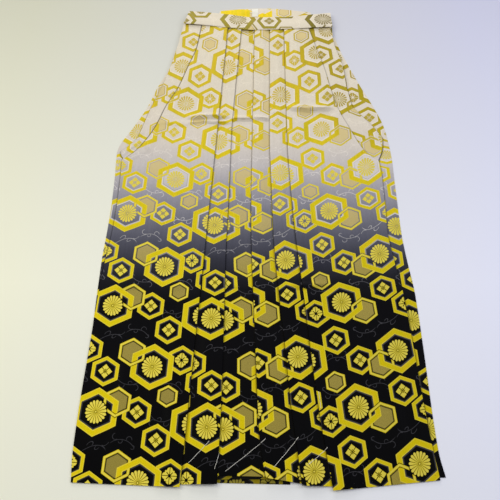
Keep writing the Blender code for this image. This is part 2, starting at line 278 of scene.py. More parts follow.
# Colours down the garment, from the waistband (0) to the hem (1)
shades = {
    "from": -60.0,
    "to": 915.0,
    "ground": ((-60, (226, 214, 194)), (60, (227, 216, 196)), (210, (225, 214, 198)),
               (290, (217, 207, 197)), (340, (198, 191, 190)), (390, (162, 158, 166)),
               (440, (125, 124, 136)), (490, (88, 88, 101)), (535, (53, 53, 64)),
               (575, (25, 25, 30)), (615, (9, 8, 12)), (915, (2, 2, 3))),
    "gold": ((-60, (188, 169, 48)), (100, (198, 178, 44)), (250, (206, 187, 38)), (330, (211, 193, 34)),
             (460, (215, 198, 24)), (600, (219, 201, 17)), (915, (223, 203, 11))),
    "light": ((-60, (194, 168, 76)), (180, (198, 174, 74)), (330, (218, 200, 88)), (520, (229, 213, 92)),
              (915, (231, 215, 92))),
    "olive": ((-60, (212, 190, 130)), (330, (206, 186, 128)), (460, (190, 171, 108)),
              (560, (166, 149, 76)), (915, (155, 139, 62))),
    "pale": ((-60, (233, 222, 203)), (210, (233, 223, 206)), (330, (226, 218, 212)), (450, (216, 211, 209)),
             (530, (138, 136, 143)), (600, (76, 75, 80)), (915, (60, 59, 64))),
    "fillEdge": (126, 96, 34),
    "greyFrom": 300.0,
    "greyTo": 405.0,
    "floatShade": 0.09,
    "paintedShadow": 0.66,    # painted shadow: how dark the cloth is painted where it goes under a pleat or an edge
}


def shadeRamp(share, name):
    span = shades["to"] - shades["from"]
    return share.ramp([((down - shades["from"]) / span, colour) for down, colour in shades[name]])


def nearestCopy(u, v, at):
    # how far a point is from the nearest repeat of a motif
    column = ((u - at[0]) / chart["across"]).maths("ROUND")
    x = u - at[0] - column * chart["across"]
    fall = v - at[1] - column * chart["drop"]
    return x, fall - (fall / chart["down"]).maths("ROUND") * chart["down"]


def hexagonDepth(x, y, size):
    # depth inside a pointed-top hexagon, in millimetres
    side = abs(x) / (size[0] / 2)
    slope = side.maths("MULTIPLY_ADD", 0.5, abs(y) / (size[1] / 2))
    return (1 - side.most(slope)) * (size[0] / 2)


def nearestMotif(u, v, places, size):
    # the nearest of several motifs of one size, and whether it is the last of them
    best = None
    last = None
    for place in places:
        x, y = nearestCopy(u, v, place)
        depth = hexagonDepth(x, y, size)
        spot = x.xyz(x, y, depth)
        if best is None:
            best, bestDepth = spot, depth
        else:
            last = depth.maths("GREATER_THAN", bestDepth)
            best = best.mixVector(last, spot)
            bestDepth = bestDepth.most(depth)
    return *best.parts(), last


def drawFlower(x, y, pale):
    # a full round flower: its gold, its tone, and the veil between petals; the gaps are wider on pale ground
    tall = y * flower["squash"]
    far = x.length(tall)
    petal = (tall.maths("ARCTAN2", x) * (flower["petals"] / (2 * math.pi))).maths("FRACT") - 0.5
    inside = (flower["reach"] - petal * petal * flower["bow"] - far).past(0.0, 0.5)
    gap = (far * flower["widening"] + flower["gap"]) * (pale * 0.9 + 1.0)
    between = (0.5 - abs(petal)) * far * (2 * math.pi / flower["petals"])
    eye = far.under(flower["eye"], 0.6)
    cover = inside * ((between - gap).past(0.0, 0.4) * far.past(flower["ring"], 0.5)).most(eye)
    tone = far.past(flower["lightTips"], 6.0) * 0.25 + 0.68 + eye * 0.3
    return cover, tone, inside * (1 - cover), far


def drawLozenge(x, y, pale):
    # a lozenge of four small ones, with four dark eyes about its middle; the seams are finer on pale ground
    wide = x / lozenge["wide"]
    tall = y / lozenge["tall"]
    p = abs(wide + tall)
    q = abs(wide - tall)
    cover = (p.most(q) * lozenge["wide"]).under(lozenge["wide"], 0.6)
    fine = pale * lozenge["onPale"]
    seams = (p.least(q) * lozenge["scale"] + fine).past(0.6, 0.4)
    eyes = (p - lozenge["eyeAt"]).length(q - lozenge["eyeAt"]) * lozenge["scale"] + fine
    return cover * seams * eyes.past(0.95, 0.6)


def drawFourPetals(x, y):
    # four split petals about a centre, with a dot between each two
    wide = abs(x)
    tall = abs(y) * fourPetals["squash"]
    sides = (wide - fourPetals["at"]).length(tall)
    ends = wide.length(tall - fourPetals["at"])
    cover = sides.least(ends).under(fourPetals["radius"], 0.5) * abs(wide - tall).past(fourPetals["split"], 0.5)
    cover = cover * wide.least(tall).past(0.5, 0.4)
    dots = (wide - fourPetals["dotAt"]).length(tall - fourPetals["dotAt"])
    return cover.most(dots.under(fourPetals["dotRadius"], 0.5))


def drawSpray(x, y):
    # a thin bowed stem with uneven hooks, each a part of a ring
    cover = None
    for (atX, atY), radius, width, (openX, openY) in curls:
        dx = x - atX
        dy = y - atY
        curl = abs(dx.length(dy) - radius).under(width, 0.5)
        curl = curl * (dx * openX + dy * openY).past(-0.2 * radius, 1.6)
        cover = cover.most(curl) if cover else curl * abs(x).under(stemReach, 5.0)
    return cover


def plainRim(depth):
    # tone of a plain border, lightest along its middle
    return depth.within(1.2, 2.8, 1.0) * 0.3 + 0.62


def weavePrint(u, v, fuzz, pale, grey):
    # gold, olive and pale shares of the print as one vector
    cloth = u.xyz(u, v, 0.0)
    shake = cloth.node("ShaderNodeTexNoise", None, {"Vector": cloth, "Scale": 0.9, "Detail": 1.0}, "Color")
    du, dv, _ = shake.parts()
    u = u + (du - 0.5) * fuzz
    v = v + (dv - 0.5) * fuzz

    # scrolling sprays lie under everything
    best = None
    for across, down, flipAcross, flipDown, lean in chart["sprays"]:
        x, y = nearestCopy(u, v, (across, down))
        reach = abs(x) + abs(y) * 1.6
        spot = x.xyz(x * flipAcross + y * lean, y * flipDown - x * lean, 0.0)
        if best is None:
            best, bestReach = spot, reach
        else:
            best = best.mixVector(reach.maths("LESS_THAN", bestReach), spot)
            bestReach = bestReach.least(reach)
    sprayX, sprayY, _ = best.parts()
    worn = cloth.noise(0.09).past(0.45, 0.3) * 0.35 + 0.65
    field = u.xyz(0.0, 0.0, drawSpray(sprayX, sprayY) * worn)

    # medium hexagons with lozenges, the last of them with petals
    x, y, depth, isLast = nearestMotif(u, v, chart["lozenges"], chart["lozengeSize"])
    depth = depth + pale * 1.4 + 0.1
    inner = depth - pale * 1.2
    width = chart["lozengeBorder"]
    centre = drawLozenge(x, y, pale).mixValue(isLast, drawFourPetals(x, y))
    tone = 0.5 + depth.under(0.9, 0.6) * 0.3 + inner.within(width - 1.0, width, 0.5) * 0.25
    gold = (inner.under(width, 0.5) * tone).most(centre * 0.86)
    thin = inner.within(width + 0.2, width + 1.6, 0.9) * 0.85
    field = field.mixVector(depth.past(0.0, 0.5), u.xyz(gold, 0.0, thin))

    # the plain hexagons: border, gap, a dark line (more than 1 in the olive share) and a speckled middle
    smallX, smallY = nearestCopy(u, v, chart["small"])
    smallDepth = hexagonDepth(smallX, smallY, chart["smallSize"])
    _, _, linkedDepth, _ = nearestMotif(u, v, chart["linked"], chart["linkedSize"])
    for depth, width in ((smallDepth, chart["smallBorder"]), (linkedDepth, chart["linkedBorder"])):
        rim = (depth + pale * 0.9).under(width, 0.5) * plainRim(depth)
        inner = depth - pale * 0.5
        edge = inner.within(width + 0.9, width + 2.0, 0.6) * (1 - pale * 0.45)
        middle = inner.past(width + 0.9, 0.4) + edge
        field = field.mixVector(depth.past(0.0, 0.5), u.xyz(rim, middle, 0.0))

    # the large flower hexagons
    x, y, depth, _ = nearestMotif(u, v, chart["flowers"], chart["flowerSize"])
    cover, tone, veil, far = drawFlower(x, y, pale)
    width = chart["flowerBorder"]
    borderTone = 0.5 + depth.under(1.1, 0.6) * 0.28 + depth.within(width - 1.2, width, 0.5) * 0.30
    gold = (depth.under(width, 0.5) * borderTone).most(cover * (tone * 0.5 + 0.5))
    thin = depth.within(width + 0.2, width + 2.0, 0.9) * 0.9 + depth.past(width + 3.4, 0.7) * grey * 0.5
    field = field.mixVector(depth.past(0.0, 0.5), u.xyz(gold, veil * (0.30 - pale * 0.2), thin))

    # a linked plain border comes back inside the large one and crosses over its lower side
    ring = linkedDepth.under(chart["linkedBorder"] + 1.0, 0.5) * linkedDepth.past(-1.0, 0.5)
    inside = depth.past(width, 0.5) * far.past(flower["reach"] + 1.2, 0.8)
    crossing = (y + 9.0).past(0.0, 1.0) * depth.past(-0.5, 0.6) * depth.under(width + 0.4, 0.5)
    rim = linkedDepth.within(0.0, chart["linkedBorder"], 0.5) * plainRim(linkedDepth)
    return field.mixVector(ring * inside.most(crossing), u.xyz(rim, 0.0, 0.0))


# What sets one length of brocade apart from another. The waistband, its back band and the ties take a copy whose
# gold is painted darker and more olive, painted shade where the sheen turns from the light; the board's gold is
# brighter and yellower.
# Patches of solid gold run between two places across, below a place down, cut off along a slope
brocadeKinds = {
    "brocade": {"gold": (1.0, 1.0, 1.0), "roughness": 0.47},
    # painted shade: darker, more olive gold
    "brocadeWaistPaintedShade": {"gold": (0.56, 0.60, 1.25), "roughness": 0.46},
    "brocadeBoard": {"gold": (1.30, 1.30, 0.45), "roughness": 0.46,
                     "patches": ((-62, 0, -56.0, 0.0), (20, 47, -36.0, 0.72))},
}
# Painted shade: towards the right side opening the gold threads are turned from the window, and the sheen they
# lose is painted into the gold as a darker tone; fall makes the gold darker towards the lower right
turned = {"across": 96.0, "slope": 0.30, "soft": 46.0, "gold": (0.70, 0.70, 0.82), "fall": 0.21}
black = (0.0, 0.0, 0.0, 1.0)


def makeBrocade(name):
    kind = brocadeKinds[name]
    material, shader, place = newMaterial(name)
    x, y, _ = place.parts()
    across = x * (1 / mm) + garment["midAcross"]
    down = y * (-1 / mm) + garment["midDown"] + (place.noise(14.0) - 0.5) * 16.0
    share = (down - shades["from"]) / (shades["to"] - shades["from"])
    pale = down.under(330.0, 260.0)
    grey = down.within(shades["greyFrom"], shades["greyTo"], 90.0)
    u, v, _ = place.node("ShaderNodeUVMap", {"uv_map": "cloth"}).parts()
    u = u * chart["unit"]
    v = v * chart["unit"]
    gold, olive, thin = weavePrint(u, v, pale * 1.1 + 0.35, pale, grey).parts()
    for left, right, top, slope in kind.get("patches", ()):
        filled = across.within(left, right, 1.0) * (down - top + (across - left) * slope).past(0.0, 1.0)
        gold = gold.most(filled * 0.5)

    # threads: the ground is a satin with long upright floats, the gold a diagonal twill
    floats = u.xyz(u * 1.9, v * 0.16, 0.0).noise(1.0, 2.0, 0.6)
    slub = u.xyz(u * 0.22, v * 0.012, 3.0).noise(1.0, 3.0, 0.6)
    twill = (u + v * 0.8).wave(1.7)
    specks = u.xyz(u, v, 0.0).noise(1.25, 1.0)

    # the line round a plain hexagon's middle is brown on ivory and black on black
    ground = shadeRamp(share, "ground")
    fillEdge = ground.mixColour(pale, linear(shades["fillEdge"]))
    ground = ground.mixColour((floats - 0.5) * 0.4 + shades["floatShade"], black)
    ground = ground.mixColour(slub.past(0.56, 0.3) * 0.10, (1.0, 1.0, 1.0, 1), "SOFT_LIGHT")
    colour = ground.mixColour(thin, shadeRamp(share, "pale"))
    fill = shadeRamp(share, "olive").mixColour(specks.past(0.55, 0.12) * 0.35, ground)
    fill = fill.mixColour((olive - 1.0).maths("MAXIMUM", 0.0, clamp=True), fillEdge)
    colour = colour.mixColour(olive.least(1.0), fill)

    # gold: a share up to a half covers the ground, and past that it turns from deep to light
    deep = shadeRamp(share, "gold").mixColour(twill * 0.16, (0.35, 0.22, 0.0, 1))
    deep = deep.mixColour(slub.past(0.55, 0.25) * 0.22, (1.0, 0.55, 0.02, 1))
    bright = deep.mixColour((gold * 2.0 - 1.0).maths("MAXIMUM", 0.0, clamp=True), shadeRamp(share, "light"))
    bright = bright.mixColour(1.0, (*kind["gold"], 1), "MULTIPLY")
    # painted shade: the gold is darkened where its sheen turns from the window, and made darker towards the
    # lower right
    paintedSheenLoss = (across - down * turned["slope"]).past(turned["across"], turned["soft"]) * down.under(290.0, 90.0)
    bright = bright.mixColour(paintedSheenLoss, (*turned["gold"], 1), "MULTIPLY")
    bright = bright.mixColour(across.past(0.0, 520.0) * down.past(480.0, 300.0) * turned["fall"], black)
    cover = (gold * 2.0).maths("MINIMUM", 1.0, clamp=True)
    colour = colour.mixColour(cover, bright)
    # painted shadow: the cloth's shadow attribute darkens the colour and lessens the metal along pleat folds,
    # overlapping edges and crease feet
    shade = place.node("ShaderNodeAttribute", {"attribute_name": "paintedShadow"}, None, "Fac")
    shade = shade * (shades["paintedShadow"] - pale * 0.2)
    colour = colour.mixColour(shade, (0.006, 0.005, 0.004, 1))

    rough = kind["roughness"] + (floats - 0.5) * 0.2 + cover * 0.06 + olive * 0.08
    raised = floats * 0.30 + cover * (twill * 0.35 + 0.55) + olive * (specks * 0.5 + 0.2) + slub * 0.4
    feed(shader, {"Base Color": colour, "Roughness": rough, "Metallic": cover * (0.22 - shade * 0.2),
                  "Normal": raised.bump(0.55, 0.0004)})
    shader.inputs["Specular IOR Level"].default_value = 0.035
    return material


brocade, brocadeWaistPaintedShade, brocadeBoard = (makeBrocade(name) for name in brocadeKinds)
print("brocade drawn")


def makePlainCloth(name, colour, shadow, ribs, roughness):
    # plain woven cloth with ribs a given distance apart
    material, shader, place = newMaterial(name)
    x, y, _ = place.parts()
    across = x * (1 / mm)
    down = y * (1 / mm)
    rib = across.wave(ribs)
    pick = down.wave(ribs * 0.8)
    patch = across.xyz(across * 0.05, down * 0.05, 0.0).noise(1.0, 3.0)
    tint = patch.ramp(((0.3, shadow), (0.62, colour))).mixColour(rib * pick * 0.18, linear(shadow))
    feed(shader, {"Base Color": tint, "Roughness": roughness + patch * 0.12,
                  "Normal": (rib * 0.6 + pick * 0.4).bump(0.5, 0.0002)})
    shader.inputs["Sheen Weight"].default_value = 0.1
    return material


labelTape = makePlainCloth("labelTape", (240, 237, 226), (222, 217, 202), 0.7, 0.6)
thread = makePlainCloth("sewingThread", (238, 236, 228), (206, 202, 190), 0.4, 0.55)
darkThread = makePlainCloth("darkThread", (44, 43, 50), (24, 24, 30), 0.4, 0.55)

# The floor's colour carries painted light: warm on the left and cool on the right, as the lamps are, and painted
# shade makes it darker towards the far side
floorLook = {"size": 6.0, "left": (240, 239, 217), "right": (227, 228, 247), "reach": 0.45,
             "farLeft": (187, 187, 187), "farRight": (206, 205, 214), "farFrom": -0.15, "farTo": 0.75}


def makeFloor():
    material, shader, place = newMaterial("paleFloor")
    fine = place.noise(900.0)
    x, y, _ = place.parts()
    # painted light and shade: warm to cool from left to right, darker towards the far side
    side = x / (2 * floorLook["reach"]) + 0.5 + (place.noise(1.6, 4.0) - 0.5) * 0.3
    near = side.ramp(((0.0, floorLook["left"]), (1.0, floorLook["right"])))
    far = side.ramp(((0.0, floorLook["farLeft"]), (1.0, floorLook["farRight"])))
    share = (y - floorLook["farFrom"]) / (floorLook["farTo"] - floorLook["farFrom"])
    tint = near.mixColour(share.ramp(((0.0, (0, 0, 0)), (1.0, (255, 255, 255)))), far, "MULTIPLY")
    feed(shader, {"Base Color": tint, "Roughness": 0.62 + fine * 0.15, "Normal": fine.bump(0.15, 0.0003)})
    mesh = bpy.data.meshes.new("floor")
    half = floorLook["size"] / 2
    corners = [(-half, -half, 0), (half, -half, 0), (half, half, 0), (-half, half, 0)]
    mesh.from_pydata(corners, [], [(0, 1, 2, 3)])
    mesh.materials.append(material)
    addObject("floor", mesh)


makeFloor()
print("floor laid")

# The laid out lines, in millimetres
lines = {
    "down": (0, 50, 100, 150, 200, 250, 300, 312, 320, 326, 360, 420, 480, 530, 600, 700, 800, 860, 910),
    "backLeft": (-141, -152, -163, -184, -201, -225, -250, -251.5, -251.5, -251.5, -250.5, -251, -254,
                 -257.5, -259.5, -261.5, -267, -268.5, -266),
    "frontLeft": (-100, -108, -124, -140, -164, -182, -211, -222, -232, -240, -240, -241, -244.5, -251,
                  -257, -262.5, -268, -269.5, -267),
    "pleat1": (-46.5, -49.5, -52.7, -56, -59, -62.2, -65.3, -66, -66.6, -67, -69.1, -73, -76.8, -80,
               -84.4, -90.8, -97, -100.8, -104),
    "pleat2": (-18, -21.7, -25, -28.7, -32, -35, -36.3, -36.6, -36.8, -37, -37.5, -39, -41, -42.3,
               -42.8, -43.5, -45.3, -47.3, -49),
    "pleat3": (9.6, 8.8, 7.9, 7, 5.9, 5, 4.2, 4, 3.8, 3.7, 3, 2.2, 2.3, 3.2, 5.4, 8.8, 12.5, 16.5, 23.5),
    "pleat4": (41.6, 40.9, 40.2, 39.5, 38.7, 38, 37.5, 37.5, 37.7, 37.9, 38.9, 40, 41.2, 43.5, 49, 57.5,
               65, 72, 77.3),
    "pleat5": (71, 71, 71, 71, 71, 71, 71.2, 71.5, 71.8, 72, 73.5, 76, 80, 84, 90.5, 98.5, 108, 115.5, 123),
    "frontRight": (122, 135, 148, 158, 170, 190, 213, 222, 230, 240, 244.5, 244.5, 244, 249.5, 260, 267,
                   273.5, 279, 284),
    "backRight": (171.5, 184.5, 202, 221, 242, 258.5, 265, 266, 266.5, 267, 267, 267.5, 268.5, 272.5,
                  280, 283, 284.5, 287, 293),
}
flaps = {
    "down": (0, 50, 100, 125, 150, 200, 225, 250, 275, 295, 305, 315, 326),
    "left": (-139, -149, -160, -167, -174, -193, -200, -207, -214, -231, -244, -243, -236),
    "right": (167, 175, 188, 190, 191.5, 200, 219, 238, 253, 251.5, 249.5, 246, 241),
    "edgeLift": 0.7,
    "liftReach": 8.0,
    # how wide the painted shadow is beside an edge that lies over other cloth
    "shadeWidth": 3.4,
    "columns": 10,
    "leastStep": 0.3,
    "creaseShare": 0.7,
}
band = {
    "across": (-138, -113, -50, 2, 71, 138, 172),
    "seam": (-12, -10, -1, 6, 4, -1, -3),
    "top": (-51, -49, -41, -33, -34, -42, -46),
    "topLeft": -129.0,
    "topRight": 170.0,
    "backLeafEnd": 18.0,
    "boardRise": 3.8,      # the board and its clearance
    "turn": 1.15,
    "grip": 10.0,
    "stations": 76,
}
pleats = {
    "panelDepth": 22.0,
    "stripShare": 0.42,
    "foldRoom": 3.0,
    "panelRise": 20.0,
    "turnSteps": 8,
    "riseSteps": 6,
    "hiddenStep": 3.0,
    "foldLift": 0.55,
    # how wide the painted shadow is past a fold, and beside the centre fold
    "shadeWidth": 1.9,
    "centreShadeWidth": 2.0,
    "liftReach": 9.0,
    "onTop": 1.9,          # levels above this belong to a pleat's top layer
}
# Rise of the front over the ties and the board: how far down, then how high
rise = {
    "down": (26, 45, 125, 150, 190, 220),
    "height": (5.1, 4.0, 3.4, 2.4, 0.6, 0),
    "centre": 5.0,
    "plateau": 65.0,
    "foot": 125.0,
    "flapCover": 30.0,
    "flapRamp": 16.0,
    "flapEnd": 350.0,
    "tuck": 9.0,
}
backs = {"ramp": 30.0, "columns": 31, "rampColumns": 6, "overlapColumns": 12, "leastRoom": 1.6}
# What sets the two sides apart; fronts are counted from the side towards the centre. innerDark is how dark the
# painted shadow of the front's edge is on the flap, and outerDark how dark that of the flap's edge is on the
# back
sides = {
    "left": {"sign": -1, "front": "frontLeft", "back": "backLeft", "folds": ("pleat1", "pleat2"),
             "hems": ((903, 910), (906, 906)), "columns": (38, 5), "prints": ("leftPanel", "strip1"),
             "backInner": 60.0, "backHem": (899, 906), "innerDark": 1.5, "outerDark": 1.0},
    "right": {"sign": 1, "front": "frontRight", "back": "backRight", "folds": ("pleat5", "pleat4", "pleat3"),
              "hems": ((900, 915), (909, 908), (905, 897), (895, 893)), "columns": (38, 5, 5, 30),
              "prints": ("rightPanel", "strip4", "strip3", "strip2"),
              "backInner": -50.0, "backHem": (896, 899), "innerDark": 0.7, "outerDark": 1.7},
}
# Rows of stations down the fronts: from, to and spacing, closest at the creases
frontRows = ((-8, 62, 4), (62, 196, 6), (196, 252, 2.5), (252, 352, 4), (352, 566, 7), (566, 604, 2.5),
             (604, 852, 7), (852, 908.5, 4), (907.5, 910.5, 2.5))

# Creases and soft folds in the cloth: from (across, down) to (across, down), height, half width, taper
creases = (
    (-128, 225, -34, 229, 3.4, 5.0, 26),
    (-38, 231, 8, 232, 3.2, 4.5, 10),
    (-126, 238, -36, 241, 2.0, 4.0, 20),
    (4, 229, 41, 231, 2.4, 4.5, 10),
    (72, 207, 168, 206, 4.2, 6.0, 22),
    (38, 219, 72, 217, 1.0, 6.0, 14),
    (166, 214, 214, 222, 1.1, 6.0, 20),
    (-188, 241, -98, 243, 1.0, 7.0, 40),
    (-96, 245, -14, 241, 0.8, 6.0, 26),
    (-246, 588, -158, 584, 1.1, 8.0, 40),
    (-166, 586, -84, 583, 0.7, 10.0, 30),
    (-82, 584, 44, 586, 1.0, 9.0, 40),
    (52, 586, 150, 581, 2.4, 6.0, 40),
    (142, 580, 258, 583, 0.9, 11.0, 50),
    (-150, 300, -178, 560, 0.9, 16.0, 90),
    (-205, 330, -226, 560, 0.7, 13.0, 90),
    (-112, 330, -136, 700, 0.8, 15.0, 120),
    (-196, 640, -208, 900, 1.0, 15.0, 110),
    (-150, 700, -160, 905, 0.8, 12.0, 110),
    (-238, 700, -243, 905, 0.7, 10.0, 100),
    (-122, 760, -128, 908, 0.6, 9.0, 70),
    (102, 250, 140, 560, 0.9, 15.0, 110),
    (170, 320, 196, 600, 0.8, 15.0, 90),
    (215, 380, 224, 560, 0.6, 10.0, 60),
    (142, 610, 172, 900, 0.9, 14.0, 100),
    (205, 640, 232, 905, 1.0, 14.0, 110),
    (250, 700, 266, 905, 0.6, 9.0, 90),
    (-84, 4, -96, 84, 0.7, 5.0, 30),
    (-66, 2, -72, 60, 0.5, 4.0, 24),
    (86, 6, 94, 96, 0.7, 5.5, 36),
    (104, 6, 118, 70, 0.6, 5.0, 26),
    (-30, 560, -36, 905, 0.5, 7.0, 120),
    (-12, 600, -8, 895, 0.6, 9.0, 120),
    (34, 620, 48, 895, 0.5, 8.0, 120),
    (72, 640, 92, 900, 0.6, 8.0, 120),
    (-70, 620, -78, 900, 0.5, 8.0, 120),
    (-222, 262, -176, 322, 0.5, 5.0, 20),
    (-246, 290, -200, 262, 1.3, 3.5, 12),
    (-240, 310, -206, 284, 1.5, 3.0, 10),
    (-244, 322, -222, 300, 1.1, 2.6, 8),
    (232, 262, 250, 318, 1.2, 3.2, 16),
    (214, 250, 246, 286, 1.0, 3.5, 12),
)
# shadeFrom, shade and shadeWidth: from which height a crease gets painted shadow along its foot, how dark it is
# and how wide
creaseShape = {"rise": 1.5, "hollow": 0.6, "steep": 0.55, "lowest": -0.3, "shadeFrom": 2.0, "shade": 0.42,
               "shadeWidth": 1.4, "waver": 1.6, "waverLength": 17.0}


def softCurve(at, knots, values):
    # through the measured points without overshoot
    knots = np.asarray(knots, float)
    values = np.asarray(values, float)
    step = np.diff(knots)
    slope = np.diff(values) / step
    tangent = np.zeros(len(knots))
    tangent[0], tangent[-1] = slope[0], slope[-1]
    for index in range(1, len(knots) - 1):
        before, after = slope[index - 1], slope[index]
        if before * after > 0:
            one = 2 * step[index] + step[index - 1]
            two = step[index] + 2 * step[index - 1]
            tangent[index] = (one + two) / (one / before + two / after)
    at = np.asarray(at, float)
    spot = np.clip(np.searchsorted(knots, at) - 1, 0, len(knots) - 2)
    t = np.clip((at - knots[spot]) / step[spot], 0, 1)
    width = step[spot]
    return ((2 * t ** 3 - 3 * t ** 2 + 1) * values[spot] + (t ** 3 - 2 * t ** 2 + t) * width * tangent[spot]
            + (3 * t ** 2 - 2 * t ** 3) * values[spot + 1] + (t ** 3 - t ** 2) * width * tangent[spot + 1])


def line(name, down):
    return float(softCurve(down, lines["down"], lines[name]))


def bandLine(name, across):
    return softCurve(across, band["across"], band[name])


def flapEdge(side, down):
    return float(np.interp(down, flaps["down"], flaps[side]))


def smoothStep(value):
    value = np.clip(value, 0.0, 1.0)
    return value * value * (3 - 2 * value)


def hemmed(down, hem):
    # the hem is uneven near the bottom
    return down + (hem - garment["hem"]) * max(0.0, (down - garment["hem"]) / garment["hemFade"] + 1)


def trueDown(across, down, hem):
    # the waist seam sags near the top
    return hemmed(down, hem) + bandLine("seam", across) * max(0.0, 1 - max(down, 0.0) / garment["waistFade"])


def creasePlace(crease, across, down):
    # how far off a crease's line a place is, and how much of the crease is there
    x1, s1, x2, s2, _, half, taper = crease
    long = math.hypot(x2 - x1, s2 - s1)
    alongX, alongS = (x2 - x1) / long, (s2 - s1) / long
    along = (across - x1) * alongX + (down - s1) * alongS
    off = (down - s1) * alongX - (across - x1) * alongS
    off = off + creaseShape["waver"] * np.sin(along / creaseShape["waverLength"] + x1) * (half / 8)
    return off, smoothStep(along / taper) * smoothStep((long - along) / taper)


def creaseHeight(across, down):
    height = np.zeros(np.broadcast(across, down).shape)
    for crease in creases:
        high, half = crease[4:6]
        off, share = creasePlace(crease, across, down)
        steep = np.where(off > 0, half * creaseShape["steep"], half)
        ridge = np.exp(-(off / steep) ** 2) - creaseShape["hollow"] * np.exp(-(off / half - 1.5) ** 2)
        height += high * share * ridge * creaseShape["rise"]
    return np.maximum(height, creaseShape["lowest"])


def creaseShade(across, down):
    # painted shadow: the sharpest creases have a thin dark line painted along their lower foot
    shade = np.zeros(np.broadcast(across, down).shape)
    for crease in creases:
        high, half = crease[4:6]
        if high >= creaseShape["shadeFrom"]:
            off, share = creasePlace(crease, across, down)
            foot = np.exp(-((off - half) / creaseShape["shadeWidth"]) ** 2)
            shade = np.maximum(shade, share * foot * creaseShape["shade"])
    return shade


def liftAt(down):
    return garment["layer"] / 2 + garment["pitch"], float(np.interp(down, rise["down"], rise["height"]))


def frontBase(across, down):
    # height of the middle of a front's lowest layer
    reach = np.abs(across - rise["centre"])
    centre = garment["pitch"] * smoothStep((rise["foot"] - reach) / (rise["foot"] - rise["plateau"]))
    bed, lift = liftAt(down)
    return bed + np.maximum(lift, centre) + creaseHeight(across, down)


def roundedTurn(edge, levelFrom, levelTo, facing):
    # points round one fold, whose outer face just reaches an edge
    half = (levelFrom - levelTo) / 2
    radius = garment["pitch"] * abs(half)
    centre = edge - facing * (garment["layer"] / 2 + radius)
    return [(centre + facing * radius * math.sin(angle), levelTo + half + half * math.cos(angle))
            for angle in np.linspace(0, math.pi, pleats["turnSteps"] + 1)]


def pleatedSection(edge, folds, hems, end, counts):
    # stations over one pleated front: position, level, hem, and the stretch of print it carries
    made = []
    previous = edge
    for index, fold in enumerate(folds):
        width = fold - previous
        first = index == 0
        depth = pleats["panelDepth"] if first else pleats["stripShare"] * width
        riseEnd = fold - depth - pleats["foldRoom"]
        riseStart = max(riseEnd - pleats["panelRise"], previous + 1.0) if first else previous + 1.0
        turnStart = fold - (garment["layer"] + garment["pitch"]) / 2
        stretch = [(position, 0.0) for position in np.linspace(previous, riseStart, counts[index])]
        for share in np.linspace(0, 1, pleats["riseSteps"] + 1)[1:]:
            stretch.append((riseStart + (riseEnd - riseStart) * share, 2 * smoothStep(share)))
        stretch += [(position, 2.0) for position in np.linspace(riseEnd, turnStart, 5)[1:-1]]
        lift = pleats["foldLift"] * (0.7 + 0.3 * math.sin(fold / 9 + index * 2))
        hemFrom, hemTo = hems[index]
        for position, level in stretch:
            if level > pleats["onTop"]:
                level += lift * smoothStep(1 - (fold - position) / pleats["liftReach"])
            made.append((position, level, hemFrom + (hemTo - hemFrom) * (position - previous) / width, index))
        last = index == len(folds) - 1 and end is None
        hidden = (hemTo if last else min(hemTo, hems[index + 1][0])) - pleats["hiddenStep"]
        for step, (position, level) in enumerate(roundedTurn(fold, 2.0, 1.0, 1)):
            under = smoothStep((step / pleats["turnSteps"] - 0.4) / 0.6)
            made.append((position, level + lift, hemTo + (hidden - hemTo) * under, index))
        if last:
            return [*made, (fold - depth, 1.0, hidden, index)]
        made += [(*point, hidden, index) for point in roundedTurn(fold - depth, 1.0, 0.0, -1)]
        previous = fold
    stations = zip(np.linspace(previous, end, counts[-1]), np.linspace(*hems[-1], counts[-1]))
    return made + [(position, 0.0, hem, len(folds)) for position, hem in stations]


